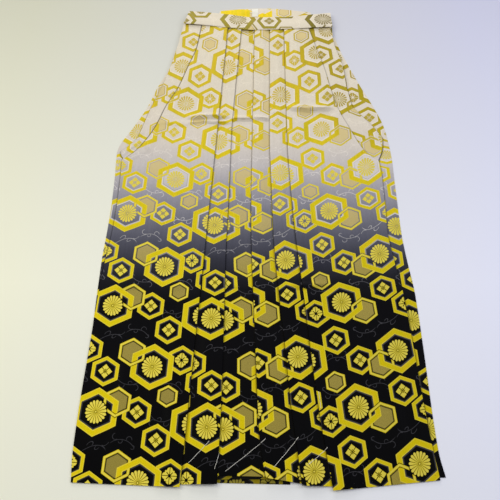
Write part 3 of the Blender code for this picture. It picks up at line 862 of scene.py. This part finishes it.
# How the print lies on each stretch of cloth: a flower's place, which flower, how far the warp leans, how
# much more the weft leans, and quarter turns. The cloth was pulled a little out of line when it was laid
# out: drift gives that as (down, shift across, shift down).
prints = {
    "leftPanel": {"at": (-230.6, 619.6), "flower": 0, "tilt": 3.2, "skew": 1.5,
                  "drift": ((0, 9, -20), (42, 8, -18), (127, 4, -1), (190, 1.5, 4), (240, 1, -3), (300, 0, 0))},
    "strip1": {"at": (-64.4, 644.0), "flower": 0, "tilt": 0.7, "skew": 0.5,
               "drift": ((0, 17, -18), (106, 13, -2), (222, 5, 1), (290, 1, 0), (403, -1, 3), (644, 0, 0))},
    "strip2": {"at": (-43.3, 646.7), "flower": 0, "tilt": -0.5,
               "drift": ((75, 1, -14), (188, -4, -2), (367, -8, -2), (543, -6, -2), (647, 0, 0))},
    "strip3": {"at": (-8.4, 618.0), "flower": 1, "tilt": -3.5, "skew": -2.0, "turned": 2,
               "drift": ((0, 40, -6), (190, 28, 4), (282, 20, 3), (380, 10, 9), (463, 5, 5), (618, 0, 0))},
    "strip4": {"at": (77.3, 710.4), "flower": 0, "tilt": -6.0, "skew": -4.0, "turned": 2,
               "drift": ((0, 57, -25), (173, 39, -4), (242, 29, -1), (357, 16, 2), (536, 3, 4), (710, 0, 0))},
    "rightPanel": {"at": (154.4, 613.3), "flower": 1, "tilt": -4.9, "skew": -5.6, "turned": 2,
                   "drift": ((0, 33, -18), (80, 26, -15), (140, 24, -8), (180, 20, -3), (260, 13, -3),
                             (322, 7.5, -2), (370, 5.5, 2), (440, 3.5, 1), (550, 0, 3), (613, 0, 0))},
    "leftFlap": {"at": (-136.5, 100.0), "flower": 1},
    "rightFlap": {"at": (174.6, 182.4), "flower": 1, "tilt": -4.9, "turned": 2},
    "leftBack": {"at": (-226.0, 438.0), "flower": 0, "tilt": 3.2},
    "rightBack": {"at": (262.0, 467.0), "flower": 1, "tilt": -2.0, "turned": 2,
                  "drift": ((280, 0, 51), (345, 0, 0))},
    "waistband": {"at": (-25.4, -24.6), "flower": 0, "turned": 1},
    "board": {"at": (-37.0, -17.0), "flower": 0},
}


def printPlace(name, across, down):
    # where points of the laid out garment lie on the flat cloth, in metres
    spec = prints[name]
    warp = math.radians(spec.get("tilt", 0.0))
    weft = warp + math.radians(spec.get("skew", 0.0))
    knots, shiftAcross, shiftDown = zip(*spec.get("drift", ((0, 0, 0),)))
    x = across - spec["at"][0] - np.interp(down, knots, shiftAcross)
    s = down - spec["at"][1] - np.interp(down, knots, shiftDown)
    square = math.cos(weft - warp)
    u = (x * math.cos(warp) + s * math.sin(warp)) / square
    v = (s * math.cos(weft) - x * math.sin(weft)) / square
    for _ in range(spec.get("turned", 0)):
        u, v = v, -u
    motif = chart["flowers"][spec["flower"]]
    return np.stack([(u + motif[0]) * mm, (v + motif[1]) * mm], axis=-1)


def settle(piece, sharpAngle):
    # modifiers become plain mesh, shaded smooth up to an angle
    graph = bpy.context.evaluated_depsgraph_get()
    graph.update()
    made = bpy.data.meshes.new_from_object(piece.evaluated_get(graph), depsgraph=graph)
    made.name = piece.name
    piece.modifiers.clear()
    piece.data = made
    made.polygons.foreach_set("use_smooth", [True] * len(made.polygons))
    made.set_sharp_from_angle(angle=math.radians(sharpAngle))
    made.update()


def clothGrid(name, rows, names, flip, material=brocade, stretches=None, thickness=garment["cloth"]):
    # rows of stations (across, down, height, dark) become a thin closed cloth that carries the print; dark is
    # how much painted shadow a station carries
    across, down, height, dark = (np.array(part, float) for part in zip(*rows))
    count = across.shape[1]
    places = [printPlace(piece, across, down) for piece in names]
    faces, spots = [], []
    for r in range(len(rows) - 1):
        for c in range(count - 1):
            corners = [(r, c), (r + 1, c), (r + 1, c + 1), (r, c + 1)]
            if flip:
                corners.reverse()
            faces.append([i * count + j for i, j in corners])
            carried = places[0 if stretches is None else int(stretches[c])]
            spots += [carried[corner] for corner in corners]
    mesh = bpy.data.meshes.new(name)
    mesh.from_pydata(placed(across, down, height).reshape(-1, 3).tolist(), [], faces)
    mesh.uv_layers.new(name="cloth").data.foreach_set("uv", np.array(spots, np.float32).ravel())
    # the painted shadow goes on as a point attribute that the brocade reads
    shade = mesh.attributes.new("paintedShadow", "FLOAT", "POINT")
    shade.data.foreach_set("value", dark.astype(np.float32).ravel())
    mesh.materials.append(material)
    piece = addObject(name, mesh)
    area = sum(face.area for face in mesh.polygons)
    thicken = piece.modifiers.new("cloth", "SOLIDIFY")
    thicken.thickness = thickness * mm
    thicken.offset = 0.0
    thicken.use_even_offset = True
    settle(piece, 50)
    print(name, "faces", len(piece.data.polygons), "area", round(area, 4))
    return piece


def makeFront(side):
    spec = sides[side]
    sign = spec["sign"]
    downs = sorted({float(down) for start, end, step in frontRows for down in np.arange(start, end, step)})
    rows = []
    for down in downs:
        edge = -sign * line(spec["front"], down)
        folds = [-sign * line(name, down) for name in spec["folds"]]
        centreFold = line("pleat2", down)
        end = None
        if side == "right":
            # the centre strip ends behind the left front's last fold
            strip = centreFold - line("pleat1", down)
            end = -(centreFold - pleats["stripShare"] * strip - pleats["foldRoom"] / 2)
        section = np.array(pleatedSection(edge, folds, spec["hems"], end, spec["columns"]))
        position, level, hem, stretch = section.T
        across = -sign * position
        # painted shadow: a dark band on the cloth just past each fold where it goes under the pleat, and beside
        # the centre fold
        dark = creaseShade(across, down)
        for index, fold in enumerate(folds[:len(spec["columns"]) - 1], 1):
            beside = 1 - (position - fold) / pleats["shadeWidth"]
            dark = np.maximum(dark, np.where((stretch == index) & (level < pleats["onTop"]), beside, 0.0))
        beside = 1 - (across - centreFold) / pleats["centreShadeWidth"]
        dark = np.maximum(dark, np.where((side == "right") & (stretch == len(folds)), beside, 0.0))
        over = smoothStep((rise["flapCover"] - (position - edge)) / rise["flapRamp"])
        over = over * smoothStep((rise["flapEnd"] - down) / rise["flapRamp"])
        height = frontBase(across, down) + np.maximum(level, over) * garment["pitch"]
        rows.append((across, trueDown(across, down, hem), height, np.clip(dark, 0.0, 1.0)))
    return clothGrid("front_" + side + "_cloth", rows, spec["prints"], side == "right", stretches=stretch)


def makeFlap(side):
    spec = sides[side]
    sign = spec["sign"]
    rows = []
    for down in [*np.arange(-8, 326, 5.0), 326, 331]:
        outer = flapEdge(side, down)
        inner = line(spec["front"], min(down, garment["openingEnd"])) - sign * rise["tuck"]
        # distances from the hidden inner edge; the last ones carry painted shadow along the front's edge
        reach = [*np.linspace((outer - inner) * sign, rise["tuck"] + flaps["shadeWidth"], flaps["columns"]),
                 rise["tuck"] + flaps["shadeWidth"] / 2, rise["tuck"], 0.0]
        for spot in range(1, len(reach) - 1):
            reach[spot] = min(reach[spot], reach[spot - 1] - flaps["leastStep"])
        across = inner + sign * np.array(reach)
        free = smoothStep(1 - np.abs(across - outer) / flaps["liftReach"]) * flaps["edgeLift"]
        height = sum(liftAt(down)) + free + creaseHeight(across, down) * flaps["creaseShare"]
        # painted shadow of the front's edge on the flap
        dark = [0.0] * flaps["columns"] + [spec["innerDark"]] * 3
        rows.append((across, trueDown(across, down, garment["hem"]), height, dark))
    return clothGrid("side_flap_" + side + "_cloth", rows, (side + "Flap",), side == "right")


def makeBack(side):
    spec = sides[side]
    sign, inner = spec["sign"], spec["backInner"]
    hemFrom, hemTo = spec["backHem"]
    rampTop = sides["left"]["backInner"] + pleats["foldRoom"]
    flatEnd = inner if side == "left" else rampTop + backs["ramp"]
    rows = []
    for down in [*np.arange(18.3, 905, 8.0), 906.0, 910.0]:
        outer = line(spec["back"], down)
        # painted shadow on the back beside the edge of the flap or the front lying over it
        edge, dark = line(spec["front"], down), 1.0
        if down < garment["openingEnd"]:
            edge, dark = flapEdge(side, down), spec["outerDark"]
        room = max((outer - edge) * sign, backs["leastRoom"])
        edge = outer - sign * room
        beside = edge + sign * min(flaps["shadeWidth"], room / 2)
        across = [outer, (outer + beside) / 2, beside, *np.linspace(edge, flatEnd, backs["columns"])]
        level = [0.0] * len(across)
        if side == "right":
            # up a ramp onto the left panel's inner edge, then level to its own
            shares = np.linspace(0.15, 1, backs["rampColumns"])
            overlap = np.linspace(rampTop, inner, backs["overlapColumns"])[1:]
            across += [*(flatEnd + (rampTop - flatEnd) * shares), *overlap]
            level += [*smoothStep(shares), *(1.0 for _ in overlap)]
        across = np.array(across)
        hem = hemFrom + (hemTo - hemFrom) * (across - outer) / (inner - outer)
        height = garment["layer"] / 2 + np.array(level) * garment["pitch"]
        rows.append((across, hemmed(down, hem), height, [0.0] * 3 + [dark] * (len(across) - 3)))
    return clothGrid("back_" + side + "_cloth", rows, (side + "Back",), side == "right")


def makeWaistband():
    backHeight = garment["layer"] / 2 + garment["pitch"] + band["boardRise"]
    frontHeight = frontBase(rise["centre"], 0) + 3 * garment["pitch"]
    low = backHeight + 2 * band["turn"]
    left, right = band["across"][0], band["across"][-1]
    rows = []
    for share in np.linspace(0, 1, band["stations"]):
        across = left + (right - left) * share
        seam, top = float(bandLine("seam", across)), float(bandLine("top", across))
        # the leaf behind, the fold along the top, the climb over the panels, and the seam
        profile = [(band["backLeafEnd"], backHeight), ((band["backLeafEnd"] + top) / 2, backHeight)]
        for angle in np.linspace(0, math.pi, 10):
            profile.append((top + garment["layer"] / 2 + band["turn"] * (1 - math.sin(angle)),
                            backHeight + band["turn"] * (1 - math.cos(angle))))
        for t in np.linspace(0, 1, 9)[1:]:
            wobble = 0.25 * math.sin(across / 23 + t * 2.0) * math.sin(math.pi * t)
            profile.append((top + 2 + (seam - band["grip"] - top - 2) * t,
                            low + (frontHeight - low) * smoothStep(t) + wobble))
        profile += [(seam - band["grip"] / 2, frontHeight + 0.1), (seam - 1.2, frontHeight),
                    (seam - 0.1, frontHeight - 0.25)]
        down, height = np.array(profile).T
        lean = np.clip((seam - down) / (seam - top), 0.0, 1.0)
        across = ((left + (band["topLeft"] - left) * lean) * (1 - share)
                  + (right + (band["topRight"] - right) * lean) * share)
        rows.append((across, down, height, 0 * down))
    return clothGrid("waistband_front_cloth", rows, ("waistband",), False, brocadeWaistPaintedShade)


# Every piece by the name of the solid that it stands for
pieces = {}
for make, node in ((makeFront, "front_"), (makeFlap, "side_flap_"), (makeBack, "back_")):
    for side in sides:
        pieces[node + side] = make(side)
pieces["waistband_front"] = makeWaistband()
print("cloth laid")


# Board, label and back band
board = {
    "topLeft": (-63.5, -54.0),
    "topRight": (129.0, -49.5),
    "crown": (56.0, -61.0),
    "baseLeft": (-86.0, 12.2),
    "baseRight": (150.0, 12.2),
    "low": 1.3,
    "thickness": 3.5,
    "round": 1.1,
    "steps": 40,
}
label = {"left": 4.0, "right": 17.5, "top": -59.0, "bottom": -36.5, "low": 5.1, "thickness": 0.6, "round": 0.22}
backBand = {"left": -134.0, "right": 166.0, "top": -12.0, "bottom": 18.0, "low": 0.05, "thickness": 0.9,
            "round": 0.4}


def insetOutline(outline, amount):
    # every corner moves inwards along the mean of its two sides' normals
    points = np.array(outline, float)
    before = points - np.roll(points, 1, 0)
    after = np.roll(points, -1, 0) - points
    normals = []
    for side in (before, after):
        side = side / np.linalg.norm(side, axis=1)[:, None]
        normals.append(np.stack([-side[:, 1], side[:, 0]], 1))
    mean = normals[0] + normals[1]
    mean /= np.maximum((mean * mean).sum(1)[:, None] / 2, 0.3)
    area = (points[:, 0] * np.roll(points[:, 1], -1) - np.roll(points[:, 0], -1) * points[:, 1]).sum()
    return points + mean * amount * (1 if area > 0 else -1)


def makeSlab(name, outline, spec, printName, material):
    # a flat piece with softly rounded edges
    profile = [(spec["round"] * (1 - math.sin(angle)), spec["round"] * (1 - math.cos(angle)))
               for angle in np.linspace(0, math.pi / 2, 5)]
    profile += [(inset, spec["thickness"] - height) for inset, height in reversed(profile)]
    shape = bmesh.new()
    layer = shape.loops.layers.uv.new("cloth")
    rings = []
    for inset, height in profile:
        across, down = insetOutline(outline, inset).T
        rings.append([shape.verts.new(point) for point in placed(across, down, 0 * down + spec["low"] + height)])
    for lower, upper in zip(rings, rings[1:]):
        for index in range(len(lower)):
            after = (index + 1) % len(lower)
            shape.faces.new((lower[index], lower[after], upper[after], upper[index]))
    shape.faces.new(rings[0])
    shape.faces.new(rings[-1])
    bmesh.ops.recalc_face_normals(shape, faces=shape.faces)
    for face in shape.faces:
        face.smooth = True
        for loop in face.loops:
            x, y, _ = loop.vert.co / mm
            loop[layer].uv = printPlace(printName, x + garment["midAcross"], garment["midDown"] - y)
    mesh = bpy.data.meshes.new(name)
    shape.to_mesh(mesh)
    shape.free()
    mesh.materials.append(material)
    mesh.set_sharp_from_angle(angle=math.radians(60))
    return addObject(name, mesh)


def boardOutline():
    (x0, s0), (x1, s1) = board["topLeft"], board["topRight"]
    crownShare = (board["crown"][0] - x0) / (x1 - x0)
    bulge = board["crown"][1] - (s0 + (s1 - s0) * crownShare)
    top = [(x0 + (x1 - x0) * share, s0 + (s1 - s0) * share + bulge * math.sin(math.pi * share))
           for share in np.linspace(0, 1, board["steps"])]
    base = np.linspace(board["baseRight"][0], board["baseLeft"][0], 20)[1:-1]
    return [board["baseLeft"], *top, board["baseRight"], *((across, board["baseLeft"][1]) for across in base)]


def rectangle(spec, steps):
    # a rectangle with extra points along its long sides
    across = np.linspace(spec["left"], spec["right"], steps)
    return [(a, spec["bottom"]) for a in across] + [(a, spec["top"]) for a in across[::-1]]


pieces["back_board"] = makeSlab("back_board_cloth", boardOutline(), board, "board", brocadeBoard)
pieces["board_label"] = makeSlab("board_label_tape", rectangle(label, 2), label, "board", labelTape)
pieces["waistband_back"] = makeSlab("waistband_back_cloth", rectangle(backBand, 30), backBand, "waistband",
                                    brocadeWaistPaintedShade)

# The ties, folded to and fro
ties = {
    "middles": {"tie_front_left": -117.0, "tie_back_left": -77.0, "tie_back_right": 107.0,
                "tie_front_right": 147.0},
    "width": 36.0,
    "top": 12.5,
    "length": 110.0,
    "low": 1.3,
    "high": 4.3,
    "layers": 3,
    "columns": 7,
    "thickness": 0.7,
}


def makeTie(name, middle):
    spacing = (ties["high"] - ties["low"]) / ties["layers"]
    ends = [ties["top"] + 1.0, ties["top"] + ties["length"] - 1.0]
    path = []
    facing = 1
    for index in range(ties["layers"]):
        height = ties["low"] + spacing * (index + 0.5)
        path += [(down, height) for down in np.linspace(*ends, 12)]
        if index < ties["layers"] - 1:
            for angle in np.linspace(0, math.pi, 7)[1:-1]:
                path.append((ends[1] + facing * spacing / 2 * math.sin(angle),
                             height + spacing / 2 * (1 - math.cos(angle))))
        ends.reverse()
        facing = -facing
    columns = np.linspace(-ties["width"] / 2, ties["width"] / 2, ties["columns"])
    rows = [(middle + columns, down + 0 * columns, height + 0 * columns, 0 * columns) for down, height in path]
    return clothGrid(name + "_cloth", rows, ("waistband",), False, brocadeWaistPaintedShade, thickness=ties["thickness"])


for node, middle in ties["middles"].items():
    pieces[node] = makeTie(node, middle)
print("board, label and ties made")

# Sewing
sewing = {
    "seam": {"spacing": 5.0, "length": 1.9, "radius": 0.22},
    "edge": {"spacing": 13.0, "length": 1.5, "radius": 0.2},
    "label": {"spacing": 2.4, "length": 1.5, "radius": 0.16},
    "tack": {"spacing": 1.5, "length": 4.4, "radius": 0.24},
    "basting": {"radius": 0.34},
}
# Loose basting threads over the lower ends of the pleats: from (across, down) to (across, down)
bastings = (
    (-62.2, 843.3, -92.7, 875.1),
    (-46.7, 860.0, -53.3, 884.4),
    (24.0, 840.0, -37.1, 887.3),
    (74.0, 837.8, 35.6, 881.8),
    (117.8, 852.9, 87.8, 877.8),
    (107.8, 766.7, 110.4, 793.3),
)


def newTree(name, numbers):
    # a tree that takes a path, some numbers and a thread: its inputs' identifiers, and the inputs themselves
    tree = bpy.data.node_groups.new(name, "GeometryNodeTree")
    kinds = {"Geometry": "Geometry", **dict.fromkeys(numbers, "Float"), "Thread": "Material"}
    tree.interface.new_socket("Geometry", in_out="OUTPUT", socket_type="NodeSocketGeometry")
    names = {label: tree.interface.new_socket(label, in_out="INPUT", socket_type="NodeSocket" + kind).identifier
             for label, kind in kinds.items()}
    given = tree.nodes.new("NodeGroupInput")
    return names, {label: Wire(tree, given.outputs[label]) for label in kinds}


def closeTree(shape, thread):
    # instances become mesh and take the thread's material
    real = shape.node("GeometryNodeRealizeInstances", None, {"Geometry": shape})
    dyed = shape.node("GeometryNodeSetMaterial", None, {"Geometry": real, "Material": thread})
    shape.tree.links.new(dyed.socket, shape.tree.nodes.new("NodeGroupOutput").inputs["Geometry"])
    return shape.tree


def stitchTree():
    # small beads of thread at a spacing along a path
    names, given = newTree("stitchRow", ("Spacing", "Length", "Radius"))
    path = given["Geometry"].node("GeometryNodeMeshToCurve", None, {"Mesh": given["Geometry"]})
    even = path.node("GeometryNodeResampleCurve", {"mode": "LENGTH"},
                     {"Curve": path, "Length": given["Spacing"]})
    points = path.node("GeometryNodeCurveToPoints", {"mode": "EVALUATED"}, {"Curve": even})
    along = path.node("FunctionNodeAlignRotationToVector", {"axis": "X"}, {"Vector": points.other("Tangent")})
    bead = path.node("GeometryNodeMeshUVSphere", None, {"Segments": 6, "Rings": 4, "Radius": 1.0})
    size = path.xyz(given["Length"] * 0.5, given["Radius"], given["Radius"])
    beads = path.node("GeometryNodeInstanceOnPoints", None,
                      {"Points": points, "Instance": bead, "Rotation": along, "Scale": size})
    return closeTree(beads, given["Thread"]), names


def threadTree():
    # a round thread along a path
    names, given = newTree("threadLine", ("Radius",))
    path = given["Geometry"].node("GeometryNodeMeshToCurve", None, {"Mesh": given["Geometry"]})
    ring = path.node("GeometryNodeCurvePrimitiveCircle", None, {"Resolution": 6, "Radius": given["Radius"]})
    tube = path.node("GeometryNodeCurveToMesh", None, {"Curve": path, "Profile Curve": ring, "Fill Caps": True})
    return closeTree(tube.node("GeometryNodeSetShadeSmooth", None, {"Geometry": tube}), given["Thread"]), names


surfaces = []
for piece in pieces.values():
    shape = bmesh.new()
    shape.from_mesh(piece.data)
    surfaces.append(BVHTree.FromBMesh(shape))
    shape.free()


def topAt(across, down):
    # height in millimetres of whatever lies on top at a place
    start = Vector(placed(across, down, 60.0))
    hits = [surface.ray_cast(start, Vector((0, 0, -1)))[0] for surface in surfaces]
    return max((hit.z / mm for hit in hits if hit is not None), default=0.0)


def sew(name, paths, treeAndNames, kind, material):
    # paths are lists of (across, down); the thread lies on the cloth under it
    tree, names = treeAndNames
    values = sewing[kind]
    points, edges = [], []
    for path in paths:
        start = len(points)
        for across, down in path:
            points.append(placed(across, down, topAt(across, down) + values["radius"] * 0.55).tolist())
        edges += [(index, index + 1) for index in range(start, len(points) - 1)]
    mesh = bpy.data.meshes.new(name)
    mesh.from_pydata(points, edges, [])
    piece = addObject(name, mesh)
    work = piece.modifiers.new("sewing", "NODES")
    work.node_group = tree
    work[names["Thread"]] = material
    for measure, value in values.items():
        work[names[measure.capitalize()]] = value * mm
    settle(piece, 80)
    return piece


def straightPath(corners, count):
    # even points along the lines between corners
    path = []
    for start, end in zip(corners, corners[1:]):
        path += np.linspace(start, end, count).tolist()
    return path


def seamPath():
    return [(across, float(bandLine("seam", across)) - 1.9) for across in np.linspace(-133, 167, 90)]


def openingPath(edge, name, offset, start):
    return [(edge(name, down) + offset, down) for down in np.linspace(start, 318, 50)]


def labelPath():
    left, right = label["left"] + 1.3, label["right"] - 1.3
    top, bottom = label["top"] + 1.4, label["bottom"] - 1.2
    return straightPath([(left, bottom), (left, top), (right, top), (right, bottom)], 12)


def bastingPath(x0, s0, x1, s1):
    path = []
    for share in np.linspace(0, 1, 34):
        bow = 0.4 * math.sin(math.pi * share) + 0.1 * math.sin(share * 17 + x0)
        path.append((x0 + (x1 - x0) * share + bow, s0 + (s1 - s0) * share + bow))
    return path


def hemPath(side, fromLine, toLine):
    ends = line(fromLine, 900) + 6, line(toLine, 900) - 6
    hems = sides[side]["hems"][0][::-sides[side]["sign"]]
    return [(across, float(np.interp(across, ends, hems)) - 7.0) for across in np.linspace(*ends, 40)]


stitches = stitchTree()
openings = [openingPath(line, "frontLeft", 4.0, 14), openingPath(line, "frontRight", -4.0, 14),
            openingPath(flapEdge, "left", 4.0, 12), openingPath(flapEdge, "right", -4.0, 12)]
work = (
    ("waist_seam_stitches", [seamPath()], stitches, "seam", thread),
    ("label_stitches", [labelPath()], stitches, "label", thread),
    ("opening_stitches", openings, stitches, "edge", thread),
    ("hem_stitches", [hemPath("left", "frontLeft", "pleat1"), hemPath("right", "pleat5", "frontRight")],
     stitches, "edge", darkThread),
    ("opening_tacks", [[(across, 323.0), (across, 329.0)] for across in (-238.5, 238.5)], stitches, "tack",
     thread),
    ("basting_threads", [bastingPath(*ends) for ends in bastings], threadTree(), "basting", thread),
)
sewn = {spec[0]: sew(*spec) for spec in work}
print("sewing done:", ", ".join(sewn))

# What stands for what: each piece hides the solid that it stands for, and the pieces and sewing hang from the
# root
for node, piece in pieces.items():
    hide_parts(node)
for piece in [*pieces.values(), *sewn.values()]:
    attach(piece, "root")

# The cut of what shows: width and length in metres, area in square metres, how it is held, what it lies on
for node in ties["middles"]:
    below = pieces["back_left" if "left" in node else "back_right"]
